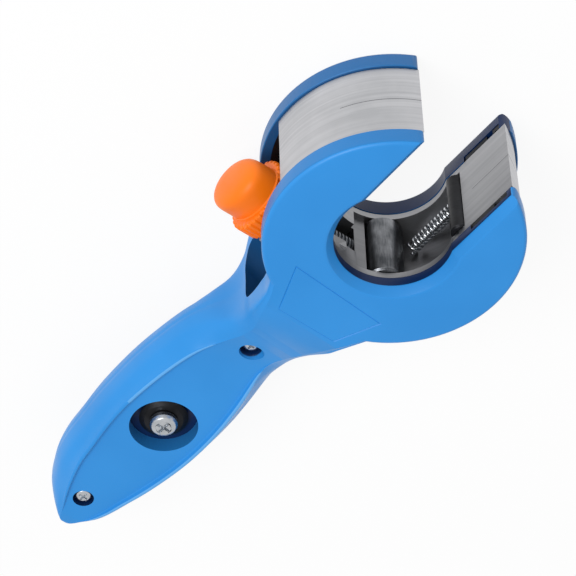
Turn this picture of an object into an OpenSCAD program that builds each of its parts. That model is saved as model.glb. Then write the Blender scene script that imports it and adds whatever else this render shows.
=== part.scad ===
/* [Jaw plates] */
// Half width of the mouth between the jaws
mouth_half = 15.8; // [14.5:0.1:16.2]
// Radius of the round opening that the tube sits in
round_radius = 17.2; // [16.8:0.1:17.3]
// Width of the jaw plates round the opening
plate_wide = 20.4; // [20.2:0.1:22]
// Clear gap between the two jaw plates
plate_gap = 28.8; // [28.6:0.1:31]
// Thickness of one jaw plate
plate_thick = 6.2; // [6:0.1:7]
// Depth of the bevel round the front plate's opening
bevel_deep = 2.6; // [1.5:0.1:2.7]
// Width of the bevel round the front plate's opening
bevel_wide = 2.4; // [1:0.1:2.8]
// Depth of the bevel round the rear plate's opening
rear_bevel = 0.9; // [0.5:0.1:1.5]
// Depth of the bevel on the plates' outer edges
rim_bevel = 1.3; // [0.8:0.1:1.6]

/* [Handle] */
// Distance from the jaw centre to the handle's end
handle_long = 157.4; // [155:0.2:162]
// Half width of the handle at its widest
handle_half = 19; // [18.4:0.1:20]
// Half width of the handle's flat face at its widest
handle_flat = 13.2; // [12.8:0.1:14]
// Half thickness of the handle
handle_top = 10; // [9.6:0.1:10.6]
// Angle between the handle and the mouth line
handle_angle = 2.2; // [1:0.1:3]
// Thickness of the shell wall under the flat face
shell_wall = 2.6; // [2:0.1:3]
// Radius cleared between the shells for the turning knob
sweep_radius = 51.8; // [51:0.1:52.4]
// Half height of the space cleared for the turning knob
sweep_half = 12; // [11.6:0.1:12.2]
// Length of the neck behind the cleared space
neck_back = 12.3; // [11.8:0.1:14]
// Distance from the cleared space to the first shell screw
screw_one_back = 11.6; // [11.2:0.1:12.6]
// Distance from the handle's end to the last shell screw
screw_two_in = 12.5; // [12:0.1:14]
// Radius of the spare wheel recess
spare_radius = 10.5; // [10:0.1:11]
// Depth of the spare wheel recess
spare_deep = 6.3; // [5.8:0.1:6.5]

/* [Cutting head] */
// Step from the plates' edge in to the head's edge
head_step = 0.8; // [0.6:0.1:1.2]
// Running gap between the head and each jaw plate
head_gap = 0.3; // [0.2:0.05:0.5]
// Half height of the pocket between the head's side walls
pocket_half = 12; // [11.4:0.1:12.2]
// Step from the plates' opening back to the head's side walls
flange_step = 0.2; // [0.1:0.1:0.4]
// Step from the plates' opening back to the raised hub
hub_back = 5.3; // [5.1:0.1:6.8]
// Radius of the larger roller
roller_a_radius = 6; // [5.6:0.1:6.1]
// Radius of the roller beside the lower jaw
roller_b_radius = 3; // [2.6:0.1:3.1]
// Depth of the knob's notch below the head's edge
notch_deep = 11; // [10.8:0.1:11.4]

/* [Feed] */
// Radius of the cutter wheel
wheel_radius = 7.5; // [7.2:0.1:7.8]
// Distance of the drawn back cutter wheel's centre outside the opening
wheel_back = 4.4; // [4.2:0.1:4.6]
// Distance of the feed screw outside the opening
screw_back = 4.6; // [4.5:0.1:5.2]
// Radius of the feed screw
screw_radius = 3; // [2.6:0.1:3.2]
// Length of the nut block along the feed screw
nut_long = 8; // [7:0.1:8.2]
// Radius of the knob's ribbed base
knob_radius = 11.2; // [10.4:0.1:11.3]
// Radius of the knob's drum
drum_radius = 9.7; // [9:0.1:9.9]
// Height of the knob's base
knob_base = 5.4; // [4.6:0.1:5.6]
// Height of the knob's drum
knob_drum = 9.9; // [8.8:0.1:10]

/* [Ratchet] */
// Number of teeth round one full ratchet ring
tooth_count = 48; // [48:12:48]
// Wall of the plates outside the ratchet rings
ring_edge = 2.9; // [2.7:0.1:3.2]
// Solid band of the ratchet rings outside their teeth
ring_band = 1.8; // [1.6:0.1:2]
// Depth of the ratchet teeth
tooth_deep = 2.3; // [2.1:0.1:2.4]
// Turns of the long pawl spring
spring_turns = 13; // [12:1:14]

/* [Hidden] */
overrun = 1;
jaw_radius = round_radius + plate_wide;
reach = jaw_radius + plate_gap;
fine = 96;
small = 36;

// Heights, measured from the middle of the head
mid = plate_gap / 2 + plate_thick;
gap_half = plate_gap / 2;
head_half_z = gap_half - head_gap;
ring_thick = 1.8;
ring_clear = 0.1;
hub_clear = 0.4;
recess_land = 0.5;
head_back = 0.2;
hub_step = 0.6;
recess_z = gap_half + ring_thick + ring_clear;
hub_z = recess_z - hub_clear;

// Radii, measured in from the plates' edge and out from their opening
head_radius = jaw_radius - head_step;
ring_radius = jaw_radius - ring_edge;
root_radius = ring_radius - ring_band;
tip_radius = root_radius - tooth_deep;
hub_radius = tip_radius - hub_step;
hub_inner = round_radius + hub_back;
flange_radius = round_radius + flange_step;
recess_inner = hub_inner - recess_land;
notch_y = head_radius - notch_deep;
wheel_y = round_radius + wheel_back;
screw_x = round_radius + screw_back;
head_mouth = mouth_half + head_back;

// Fits
running = 0.05;
side_clear = 0.4;

neck_long = sweep_radius + neck_back;
screw_one_x = sweep_radius + screw_one_back;
screw_two_x = handle_long - screw_two_in;
spare_share = 0.51;
spare_x = mix(screw_one_x, screw_two_x, spare_share);

// Handle outline: distance, flat half width, full half width, rise and sideways shift, as
// shares of the length, flat half width, half width, step up to the plates and half width.
// Distances up to 1 are shares of the neck, and from 1 to 2 of the grip behind it
station_shares = [
    [0.469, 1.409, 1.047, 0.985, 0], [0.563, 1.152, 0.884, 1, 0.005],
    [0.624, 1.015, 0.816, 0.972, 0.021], [0.717, 0.811, 0.742, 0.84, 0.026],
    [0.81, 0.659, 0.658, 0.604, -0.005], [0.903, 0.591, 0.668, 0.321, -0.011],
    [1, 0.583, 0.763, 0.104, 0.032], [1.064, 0.629, 0.837, 0.019, 0.068],
    [1.128, 0.705, 0.895, 0, 0.076], [1.214, 0.826, 0.953, 0, 0.061],
    [1.32, 0.939, 0.997, 0, 0.039], [1.428, 1, 1, 0, 0.021],
    [1.534, 0.962, 0.984, 0, 0], [1.642, 0.848, 0.926, 0, -0.018],
    [1.728, 0.727, 0.874, 0, -0.021], [1.803, 0.591, 0.795, -0.009, -0.042],
    [1.867, 0.485, 0.684, -0.028, -0.079], [1.921, 0.379, 0.558, -0.057, -0.103],
    [1.964, 0.265, 0.368, -0.094, -0.1], [1.99, 0.159, 0.2, -0.132, -0.095],
    [2, 0.068, 0.084, -0.16, -0.095]
];
// Edge of the section: share of the step out from the flat face, share of the height
handle_edge_shares = [[1, 0.18], [0.85, 0.52], [0.53, 0.82]];
neck_edge_shares = [[1.03, 4.6], [0.97, 1], [0.5, 0.45]];
// Where the plate's edge turns into the handle's edge, as the same shares
turn_shares = [0.688, 1.064];
steps_each = 3;
// Hollow inside the handle: shares of its length and half width
hollow_shares = [
    [0, 0.5], [0.12, 0.6], [0.26, 0.82], [0.38, 0.96], [0.5, 1], [0.62, 0.97], [0.76, 0.81],
    [0.88, 0.57], [1, 0.32]
];

function mix(a, b, t) = a + (b - a) * t;
function held(v, low, high) = min(max(v, low), high);
function bend(a, b, c, d, t) = (2 * b + (c - a) * t + (2 * a - 5 * b + 4 * c - d) * t * t
    + (3 * b - a - 3 * c + d) * t * t * t) / 2;
function share_at(i, t) = bend(
    station_shares[max(i - 1, 0)], station_shares[i], station_shares[i + 1],
    station_shares[min(i + 2, len(station_shares) - 1)], t);
function along(t) = t < 1 ? t * neck_long : neck_long + (t - 1) * (handle_long - neck_long);
turn_from = along(turn_shares[0]);
turn_to = along(turn_shares[1]);
function station(s) = [
    along(s[0]), s[1] * handle_flat, s[2] * handle_half,
    handle_top + s[3] * (mid - handle_top),
    held((along(s[0]) - turn_from) / (turn_to - turn_from), 0, 1), s[4] * handle_half];
stations = concat(
    [for (i = [0 : len(station_shares) - 2]) for (k = [0 : steps_each - 1])
        station(share_at(i, k / steps_each))],
    [station(station_shares[len(station_shares) - 1])]);
function edge_point(s, k) =
    let (n = neck_edge_shares[k], h = handle_edge_shares[k])
    [
        s[1] + (s[2] - s[1]) * mix(n[0], h[0], s[4]),
        mix(s[3] - n[1] * rim_bevel, s[3] * h[1], s[4])
    ];
function side_points(s) = [
    [s[2], 0], edge_point(s, 0), edge_point(s, 1), edge_point(s, 2), [s[1], s[3]]];
function section(s) =
    let (p = side_points(s), n = len(p))
    concat(
        [for (q = p) [-s[0], s[5] + q[0], q[1]]],
        [for (k = [n - 1 : -1 : 0]) [-s[0], s[5] - p[k][0], p[k][1]]]);

// Screws that hold the shells and the spare wheel
shell_screw_head = 2.7;
shell_screw_tall = 1.9;
shell_screw_shank = 1.5;
shell_screw_long = 12;
shell_screw_seat = 6.4;
shell_screw_blind = 6;
shell_sink_room = 0.6;
shell_boss_wall = 1.3;
shell_sink_radius = shell_screw_head + shell_sink_room;
shell_boss = shell_sink_radius + shell_boss_wall;
spare_head = 4.25;
spare_head_tall = 2.7;
spare_shank = 2;
spare_screw_long = 12.2;
spare_blind = 5.4;
spare_floor = handle_top - spare_deep;
spare_floor_thick = 2;
spare_wall = 2;
wheel_hub = 4.4;
wheel_hub_half = 1.7;
wheel_web_half = 1.2;
wheel_edge_half = 0.05;

// Cutting head
roller_a_proud = 1.2;
roller_a_out = round_radius - roller_a_proud + roller_a_radius;
roller_a_angle = -147;
roller_b_proud = 0.4;
roller_b_out = round_radius - roller_b_proud + roller_b_radius;
roller_b_angle = -61;
roller_end = 0.3;
roller_a_at = polar(roller_a_out, roller_a_angle);
roller_b_at = polar(roller_b_out, roller_b_angle);
roller_half = pocket_half - roller_end;
roller_pin = 1.4;
roller_edge = 0.4;
pin_half = 13;
head_screw_in = 4.8;
head_screw_out = head_radius - head_screw_in;
head_screw_angles = [-38, 37.5, -120.5, -169.5];
head_screw_head = 2.1;
head_screw_tall = 1.8;
head_screw_shank = 1.5;
head_screw_sink = 2.2;
head_screw_long = 24;
head_screw_at = [for (a = head_screw_angles) polar(head_screw_out, a)];
tower_out = 7;
tower_in = 6;
tower_left = screw_x + tower_out;
tower_right = screw_x - tower_in;
tower_low = 4;
tower_half = 9;
journal_wall = 3.4;
spine_high = notch_y - journal_wall;
spine_low = -1.6;
spine_out = 5;
spine_step = 1.4;
spine_left = screw_x + spine_out;
spine_right = flange_radius - spine_step;
notch_x = 5.4;
notch_rise = 5.2;
notch_slant = 4.8;
pocket_wall = 3;
pocket_angles = [-136, -66];
side_pocket_deep = 1.8;
side_pocket_angles = [-178, -160];
cavity_angles = [-75, -50.5];
window_angles = [-61, -51];
pocket_outer = tip_radius - pocket_wall;
wheel_clear = 0.8;
wheel_room = wheel_radius + wheel_clear;

// Feed
slide_half = 5;
nut_out = 4.4;
nut_in = 5.2;
nut_clear = 2.2;
nut_left = screw_x + nut_out;
nut_right = screw_x - nut_in;
nut_high = spine_high - nut_clear;
nut_low = nut_high - nut_long;
fork_radius = 5.2;
fork_play = 0.2;
fork_slot = wheel_hub_half + fork_play;
axle_radius = 2;
axle_proud = 0.6;
screw_foot = 2;
screw_foot_long = 2.6;
screw_foot_low = spine_low - screw_foot_long;
journal_low = screw_foot_low - side_clear;
collar_radius = 4.4;
collar_thick = 1.4;
knob_clear = 0.3;
knob_soft = 0.6;
knob_pin_down = 4.3;
knob_pin_radius = 1;
knob_pin_half = 6;
knob_roof = 2.3;
knob_low = notch_y + knob_clear;
knob_high = knob_low + knob_base + knob_drum;
knob_pin_y = knob_high - knob_pin_down;
screw_high = knob_high - knob_roof;
rib_count = 30;
rib_deep = 0.8;

// Ratchet
tooth_step = 360 / tooth_count;
tooth_face = -52.2;
second_pawl = 16 * tooth_step;
pawl_pin = 1.3;
pawl_boss = 3;
pivot_in = 2.8;
pivot_out = tip_radius - pivot_in;
pivot_angle = -66.7;
pivot = polar(pivot_out, pivot_angle);
nose_short = 1.15;
nose_clear = 0.9;
nose_thick = 2.3;
nose_rise = 0.2;
nose_tip = root_radius - nose_short;
nose_root = tip_radius - nose_clear;
nose_in = nose_root - nose_thick;
nose_proud = hub_z + nose_rise;
window_low = 2.8;
window_high = 1.3;
window_in = nose_in - window_low;
window_out = nose_tip + window_high;
tail_wide = 1.8;

// Springs
spring_up = 5.03;
spring_back = 6.3;
spring_z = -7;
spring_middle = 1.75;
spring_wire = 0.42;
spring_y = pivot[1] + spring_up;
spring_to = pivot[0] - spring_back;
// The far end seats in the corner where the coil meets the pocket's outer wall
spring_from = -sqrt(pow(pocket_outer, 2) - pow(spring_middle + spring_wire - spring_y, 2));
spring_long = spring_to - spring_from;
tail_clear = 0.2;
tail_x = spring_to + tail_clear;
second_spring_deep = 2.7;
second_spring_low = window_in - second_spring_deep;
second_spring_long = 4.4;
second_spring_turns = 3;
second_spring_middle = 1.1;
second_spring_wire = 0.3;
second_spring_angle = -56;

function polar(r, a) = [r * cos(a), r * sin(a)];

// Points of one round wire wound into a coil along z, ring after ring
coil_rings = 8;
wire_sides = 6;
function coil_points(turns, long, middle, wire) =
    let (rise = (long - 2 * wire) / (turns * coil_rings),
         tilt = atan2(rise * coil_rings, 2 * PI * middle))
    [for (i = [0 : turns * coil_rings]) for (k = [0 : wire_sides - 1])
        let (a = 360 * i / coil_rings, b = 360 * k / wire_sides, out = middle + wire * cos(b),
             up = wire * sin(b))
        [
            out * cos(a) + up * sin(tilt) * sin(a),
            out * sin(a) - up * sin(tilt) * cos(a),
            wire + rise * i + up * cos(tilt)
        ]];
pawl_spring_points = coil_points(
    spring_turns, spring_long, spring_middle, spring_wire);
holding_spring_points = coil_points(
    second_spring_turns, second_spring_long, second_spring_middle, second_spring_wire);

// Least distance between the points of each ring and those of the rings about one turn on
function coil_gap(p) = min([
    for (i = [0 : len(p) / wire_sides - 1 - coil_rings]) for (d = [-2 : 2])
        let (j = i + coil_rings + d)
        if (j < len(p) / wire_sides)
            for (k = [0 : wire_sides - 1]) for (m = [0 : wire_sides - 1])
                norm(p[i * wire_sides + k] - p[j * wire_sides + m])]);
echo(
    pawl_spring_gap = coil_gap(pawl_spring_points),
    holding_spring_gap = coil_gap(holding_spring_points));

// Stands the head on the rear plate's outer face
module lift() {
    translate([0, 0, mid])
        children();
}

module rod(radius, from, to, faces = small) {
    translate([0, 0, from])
        cylinder(r = radius, h = to - from, $fn = faces);
}

module mouth_plan(half) {
    translate([0, -half])
        square([reach, 2 * half]);
}

module sector_plan(inner, outer, from, to) {
    n = 12;
    polygon(concat(
        [for (k = [0 : n]) polar(outer, from + (to - from) * k / n)],
        [for (k = [n : -1 : 0]) polar(inner, from + (to - from) * k / n)]));
}

// Opening and mouth through the plates, with their bevels
module plate_cuts(front) {
    deep = front ? bevel_deep : rear_bevel;
    out = front ? bevel_wide : rear_bevel;
    half = mouth_half;
    wide = mouth_half + out;
    edge = mid - deep;
    rod(round_radius, -overrun, mid + overrun, fine);
    translate([0, 0, edge])
        cylinder(r1 = round_radius, r2 = round_radius + out, h = deep, $fn = fine);
    rod(round_radius + out, mid, mid + overrun, fine);
    rotate([90, 0, 90])
        linear_extrude(height = reach)
            polygon([
                [-half, -overrun], [half, -overrun], [half, edge], [wide, mid],
                [wide, mid + overrun], [-wide, mid + overrun], [-wide, mid], [-half, edge]
            ]);
}

module jaw_plate(front) {
    difference() {
        union() {
            rod(jaw_radius, gap_half, mid - rim_bevel, fine);
            translate([0, 0, mid - rim_bevel])
                cylinder(r1 = jaw_radius, r2 = jaw_radius - rim_bevel, h = rim_bevel, $fn = fine);
        }
        plate_cuts(front);
    }
}

// Outer body of one half of the handle and neck, lofted through the stations
module handle_body() {
    n = len(section(stations[0]));
    m = len(stations);
    polyhedron(
        points = [for (s = stations) for (q = section(s)) q],
        faces = concat(
            [[for (k = [n - 1 : -1 : 0]) k]],
            [[for (k = [0 : n - 1]) (m - 1) * n + k]],
            [for (i = [0 : m - 2]) for (k = [0 : n - 1])
                [i * n + k, i * n + (k + 1) % n, (i + 1) * n + k]],
            [for (i = [0 : m - 2]) for (k = [0 : n - 1])
                [i * n + (k + 1) % n, (i + 1) * n + (k + 1) % n, (i + 1) * n + k]]));
}

// Hollow inside the handle, rounded off towards both shell screws
module hollow_plan() {
    from = screw_one_x - shell_boss - shell_wall;
    long = screw_two_x + shell_boss - from + shell_wall / 2;
    wide = handle_flat - shell_wall / 2;
    polygon(concat(
        [for (q = hollow_shares) [-from - long * q[0], wide * q[1]]],
        [for (k = [len(hollow_shares) - 1 : -1 : 0])
            [-from - long * hollow_shares[k][0], -wide * hollow_shares[k][1]]]));
}

module at_handle(x) {
    rotate([0, 0, -handle_angle])
        translate([-x, 0, 0])
            children();
}

module handle_hollow(front) {
    difference() {
        rotate([0, 0, -handle_angle])
            translate([0, 0, -overrun])
                linear_extrude(height = handle_top - shell_wall + overrun)
                    hollow_plan();
        for (x = [screw_one_x, screw_two_x])
            at_handle(x)
                rod(shell_boss, -2 * overrun, reach);
        at_handle(spare_x)
            if (front)
                rod(spare_radius + spare_wall, spare_floor - spare_floor_thick, reach, fine);
            else
                rod(shell_boss, -2 * overrun, reach);
    }
}

module ring_recess() {
    difference() {
        rod(ring_radius, gap_half - overrun, recess_z, fine);
        rod(recess_inner, gap_half - 2 * overrun, recess_z + overrun, fine);
    }
}

module shell_screw_hole(front) {
    if (front)
        rod(shell_sink_radius, shell_screw_seat, reach);
    rod(shell_screw_shank, -overrun, front ? reach : shell_screw_blind);
}

module spare_hole(front) {
    if (front)
        rod(spare_radius, spare_floor, reach, fine);
    rod(spare_shank + running, -overrun, front ? reach : spare_blind);
}

// One half of the shell: jaw plate, neck and hollow handle
module shell_half(front) {
    difference() {
        union() {
            jaw_plate(front);
            difference() {
                rotate([0, 0, -handle_angle])
                    handle_body();
                rod(sweep_radius, -overrun, sweep_half, fine);
                rod(jaw_radius + bevel_wide, -overrun, gap_half, fine);
                handle_hollow(front);
                plate_cuts(front);
            }
        }
        ring_recess();
        for (x = [screw_one_x, screw_two_x])
            at_handle(x)
                shell_screw_hole(front);
        at_handle(spare_x)
            spare_hole(front);
    }
}

module front_shell() {
    color("#3a93dc")
        lift()
            shell_half(true);
}

module rear_shell() {
    color("#3a93dc")
        lift()
            mirror([0, 0, 1])
                shell_half(false);
}

module cross_slot(size, deep) {
    wide = size / 5;
    for (a = [0, 90])
        rotate([0, 0, a])
            translate([-size / 2, -wide / 2, -deep])
                cube([size, wide, deep + overrun]);
}

module pan_screw(head, tall, shank, long) {
    difference() {
        union() {
            rotate_extrude($fn = small)
                polygon([
                    [0, 0], [head, 0], [head, tall * 0.45], [head * 0.86, tall * 0.85],
                    [head * 0.6, tall], [0, tall]
                ]);
            rod(shank, -long, tall / 2);
        }
        translate([0, 0, tall])
            cross_slot(head * 1.15, tall * 0.6);
    }
}

module shell_screws() {
    color("#c5c5c8")
        lift()
            for (x = [screw_one_x, screw_two_x])
                at_handle(x)
                    translate([0, 0, shell_screw_seat])
                        pan_screw(
                            shell_screw_head, shell_screw_tall, shell_screw_shank, shell_screw_long);
}

// Cutter wheel about its own centre
module wheel_body(bore) {
    web = (wheel_hub + wheel_radius) / 2;
    side = [
        [bore, wheel_hub_half], [wheel_hub, wheel_hub_half], [wheel_hub, wheel_web_half],
        [web, wheel_web_half * 0.85], [wheel_radius, wheel_edge_half]
    ];
    rotate_extrude($fn = fine)
        polygon(concat(
            side, [for (k = [len(side) - 1 : -1 : 0]) [side[k][0], -side[k][1]]]));
}

module spare_wheel() {
    color("#26282b")
        lift()
            at_handle(spare_x)
                translate([0, 0, spare_floor + wheel_hub_half])
                    wheel_body(spare_shank + running);
}

module spare_screw() {
    color("#c5c5c8")
        lift()
            at_handle(spare_x)
                translate([0, 0, spare_floor + 2 * wheel_hub_half])
                    pan_screw(spare_head, spare_head_tall, spare_shank, spare_screw_long);
}

// Ring with saw teeth that point inwards
module ratchet_plan() {
    slack = 0.25;
    difference() {
        circle(r = ring_radius, $fn = fine);
        polygon([
            for (k = [0 : tooth_count - 1]) for (root = [false, true])
                let (a = tooth_face + (root ? k * tooth_step - slack : (k - 1) * tooth_step + slack))
                polar(root ? root_radius : tip_radius, a)
        ]);
        mouth_plan(head_mouth);
    }
}

module ratchet_ring() {
    translate([0, 0, recess_z - ring_thick])
        linear_extrude(height = ring_thick)
            ratchet_plan();
}

module front_ratchet_ring() {
    color("#8d9095")
        lift()
            ratchet_ring();
}

module rear_ratchet_ring() {
    color("#8d9095")
        lift()
            mirror([0, 0, 1])
                ratchet_ring();
}

// Outline of the head, with the notch for the knob
module head_plan() {
    difference() {
        circle(r = head_radius, $fn = fine);
        circle(r = flange_radius, $fn = fine);
        mouth_plan(head_mouth);
        polygon([
            [-notch_x, reach], [-notch_x, notch_y + notch_rise], [-notch_x - notch_slant, notch_y],
            [-reach, notch_y], [-reach, reach]
        ]);
    }
}

// Hollows between the side walls
module pocket_plan() {
    top = wheel_y + wheel_radius + side_clear * 2;
    shoulder = wheel_y + wheel_radius * 0.65;
    polygon([
        [-spine_right, spine_low], [-spine_right, spine_high], [-wheel_room * 1.52, spine_high],
        [-wheel_room * 1.1, shoulder], [-wheel_room / 2, top], [wheel_room / 2, top],
        [wheel_room, shoulder], [wheel_room, round_radius * 0.6], [0, 0]
    ]);
    sector_plan(round_radius * 0.6, pocket_outer, pocket_angles[0], pocket_angles[1]);
    sector_plan(
        round_radius * 0.6, round_radius + side_pocket_deep,
        side_pocket_angles[0], side_pocket_angles[1]);
    sector_plan(window_in - side_clear, window_out, cavity_angles[0], cavity_angles[1]);
    translate(roller_a_at)
        circle(r = roller_a_radius + side_clear, $fn = small);
    translate(roller_b_at)
        circle(r = roller_b_radius + side_clear, $fn = small);
    polygon([
        roller_a_at + roller_a_radius * [-0.75, 0.8], roller_a_at + roller_a_radius * [0.75, -0.8],
        [0, -round_radius * 0.35], [-round_radius * 0.35, 0]
    ]);
}

// Closed hollow of the holding pawl in the upper jaw
module holding_plan() {
    wide = 4;
    rotate(second_pawl) {
        sector_plan(window_in - side_clear, window_out, cavity_angles[0], window_angles[1]);
        sector_plan(
            second_spring_low - running, window_in + overrun,
            second_spring_angle - wide, second_spring_angle + wide);
    }
}

module pawl_window() {
    sector_plan(window_in, window_out, window_angles[0], window_angles[1]);
}

module head_body() {
    linear_extrude(height = head_half_z)
        head_plan();
    linear_extrude(height = hub_z)
        intersection() {
            head_plan();
            difference() {
                circle(r = hub_radius, $fn = fine);
                circle(r = hub_inner, $fn = fine);
            }
        }
    translate([-tower_left, tower_low, 0])
        cube([tower_left - tower_right, notch_y - tower_low, tower_half]);
}

module feed_screw_bore() {
    translate([-screw_x, 0, 0])
        rotate([-90, 0, 0]) {
            rod(screw_radius + running, 0, reach);
            rod(screw_foot + running, journal_low, spine_high);
        }
}

module head_half() {
    difference() {
        head_body();
        translate([0, 0, -overrun]) {
            linear_extrude(height = pocket_half + overrun) {
                pocket_plan();
                holding_plan();
            }
            linear_extrude(height = reach) {
                pawl_window();
                rotate(second_pawl)
                    pawl_window();
            }
            translate([-spine_left, spine_low, 0])
                cube([
                    spine_left - spine_right + overrun, spine_high - spine_low,
                    slide_half + 3 * side_clear + overrun
                ]);
        }
        for (p = [roller_a_at, roller_b_at])
            translate(p)
                rod(roller_pin, -overrun, pin_half);
        for (a = [0, second_pawl])
            rotate([0, 0, a])
                translate(pivot)
                    rod(pawl_pin, -overrun, pin_half);
        for (p = head_screw_at)
            translate(p) {
                rod(head_screw_shank, -overrun, reach);
                rod(head_screw_head + running, head_half_z - head_screw_sink, reach);
            }
        feed_screw_bore();
    }
}

module head_front_half() {
    color("#c5c5c8")
        lift()
            head_half();
}

module head_rear_half() {
    color("#c5c5c8")
        lift()
            mirror([0, 0, 1])
                head_half();
}

module head_screws() {
    color("#9a9da2")
        lift()
            for (p = head_screw_at)
                translate([p[0], p[1], head_half_z - head_screw_sink])
                    pan_screw(head_screw_head, head_screw_tall, head_screw_shank, head_screw_long);
}

module roller_pins() {
    color("#9a9da2")
        lift()
            for (p = [roller_a_at, roller_b_at])
                translate(p)
                    rod(roller_pin, -pin_half, pin_half);
}

module pawl_pins() {
    color("#9a9da2")
        lift()
            for (a = [0, second_pawl])
                rotate([0, 0, a])
                    translate(pivot)
                        rod(pawl_pin, -pin_half, pin_half);
}

module roller(radius) {
    difference() {
        union() {
            rod(radius, roller_edge - roller_half, roller_half - roller_edge, fine);
            rod(radius - roller_edge, -roller_half, roller_half, fine);
        }
        rod(roller_pin + running, -roller_half - overrun, roller_half + overrun);
    }
}

module roller_a() {
    color("#d4d5d8")
        lift()
            translate(roller_a_at)
                roller(roller_a_radius);
}

module roller_b() {
    color("#9a9da2")
        lift()
            translate(roller_b_at)
                roller(roller_b_radius);
}

// Pointed end of a pawl, in a tooth space
module nose_plan() {
    polygon([
        polar(nose_in, -58.2), polar(nose_root, -58.4), polar(nose_tip, -54.8),
        polar(nose_tip, -53.9), polar(nose_in, -53)
    ]);
}

module arm_plan() {
    translate(pivot)
        circle(r = pawl_boss, $fn = small);
    polygon([
        pivot + pawl_boss * [0.13, 0.99], pivot + pawl_boss * [0.47, -0.87],
        polar(nose_root, -58.4), polar(nose_in, -53)
    ]);
    nose_plan();
}

module tail_plan() {
    polygon([
        [tail_x, spring_y - tail_wide * 1.2], [tail_x, spring_y + tail_wide * 0.8],
        [tail_x + tail_wide, spring_y + tail_wide * 0.8],
        [pivot[0] - pawl_boss * 0.4, pivot[1] + pawl_boss * 0.85],
        [pivot[0] - pawl_boss * 0.7, pivot[1]]
    ]);
}

module pawl(tail) {
    difference() {
        union() {
            translate([0, 0, -roller_half])
                linear_extrude(height = 2 * roller_half) {
                    arm_plan();
                    if (tail)
                        tail_plan();
                }
            translate([0, 0, -nose_proud])
                linear_extrude(height = 2 * nose_proud)
                    nose_plan();
        }
        translate(pivot)
            rod(pawl_pin + running, -roller_half - overrun, roller_half + overrun);
    }
}

module drive_pawl() {
    color("#6f7378")
        lift()
            pawl(true);
}

module holding_pawl() {
    color("#6f7378")
        lift()
            rotate([0, 0, second_pawl])
                pawl(false);
}

// Skin over the points of a coil, with a cap on each end
module coil(p) {
    sides = wire_sides;
    n = len(p) / sides - 1;
    polyhedron(
        points = p,
        faces = concat(
            [[for (k = [0 : sides - 1]) k]],
            [[for (k = [sides - 1 : -1 : 0]) n * sides + k]],
            [for (i = [0 : n - 1]) for (k = [0 : sides - 1])
                [i * sides + (k + 1) % sides, i * sides + k, (i + 1) * sides + k]],
            [for (i = [0 : n - 1]) for (k = [0 : sides - 1])
                [i * sides + (k + 1) % sides, (i + 1) * sides + k,
                 (i + 1) * sides + (k + 1) % sides]]));
}

module pawl_spring() {
    color("#b5b8bd")
        lift()
            translate([spring_from, spring_y, spring_z])
                rotate([0, 90, 0])
                    coil(pawl_spring_points);
}

module holding_spring() {
    color("#b5b8bd")
        lift()
            rotate([0, 0, second_pawl + second_spring_angle])
                translate([second_spring_low, 0, 0])
                    rotate([0, 90, 0])
                        coil(holding_spring_points);
}

module feed_screw() {
    color("#8d9095")
        lift()
            translate([-screw_x, 0, 0])
                difference() {
                    rotate([-90, 0, 0]) {
                        rod(screw_foot, screw_foot_low, spine_low + overrun);
                        rod(screw_radius, spine_low + side_clear, screw_high);
                        rod(collar_radius, spine_high - collar_thick - side_clear / 2,
                            spine_high - side_clear / 2);
                    }
                    knob_pin_bore();
                }
}

module knob_pin_bore() {
    half = knob_pin_half + running;
    translate([0, knob_pin_y, 0])
        rotate([0, 90, 0])
            rod(knob_pin_radius + running, -half, half);
}

// Ribbed outline of the knob's base
module knob_plan() {
    polygon([
        for (k = [0 : rib_count - 1]) for (e = [0, 0.28, 0.5, 0.78])
            polar(knob_radius - (e < 0.4 ? 0 : rib_deep), (k + e) * 360 / rib_count)
    ]);
}

module thumb_knob() {
    inner = knob_radius - rib_deep;
    base_high = knob_low + knob_base;
    color("#ff8420")
        lift()
            translate([-screw_x, 0, 0])
                difference() {
                    rotate([-90, 0, 0]) {
                        translate([0, 0, knob_low + knob_soft])
                            linear_extrude(height = knob_base - 2 * knob_soft)
                                knob_plan();
                        rotate_extrude($fn = fine)
                            polygon([
                                [0, knob_low], [inner - knob_soft, knob_low],
                                [inner, knob_low + knob_soft], [inner, base_high - knob_soft],
                                [inner - 2 * knob_soft, base_high],
                                [drum_radius, base_high + knob_soft],
                                [drum_radius, knob_high - 4 * knob_soft],
                                [drum_radius - knob_soft, knob_high - 2 * knob_soft],
                                [drum_radius - 2 * knob_soft, knob_high - knob_soft],
                                [drum_radius - 4 * knob_soft, knob_high], [0, knob_high]
                            ]);
                    }
                    rotate([-90, 0, 0])
                        rod(screw_radius + running, knob_low - overrun, screw_high + running);
                    knob_pin_bore();
                }
}

// Cross pin that the knob is moulded over
module knob_pin() {
    color("#9a9da2")
        lift()
            translate([-screw_x, knob_pin_y, 0])
                rotate([0, 90, 0])
                    rod(knob_pin_radius, -knob_pin_half, knob_pin_half);
}

module arm_outline() {
    sink = nut_long * 0.15;
    polygon([
        [-nut_right - sink, nut_low + nut_long * 0.2], [-nut_right - sink, nut_high - sink],
        [-nut_right, nut_high - sink / 2], [-wheel_room * 1.55, nut_high + fork_radius * 0.1],
        [-fork_radius * 0.75, wheel_y + fork_radius * 0.6], [fork_radius * 0.1, wheel_y],
        [-fork_radius * 0.55, wheel_y - fork_radius * 0.75]
    ]);
}

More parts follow.
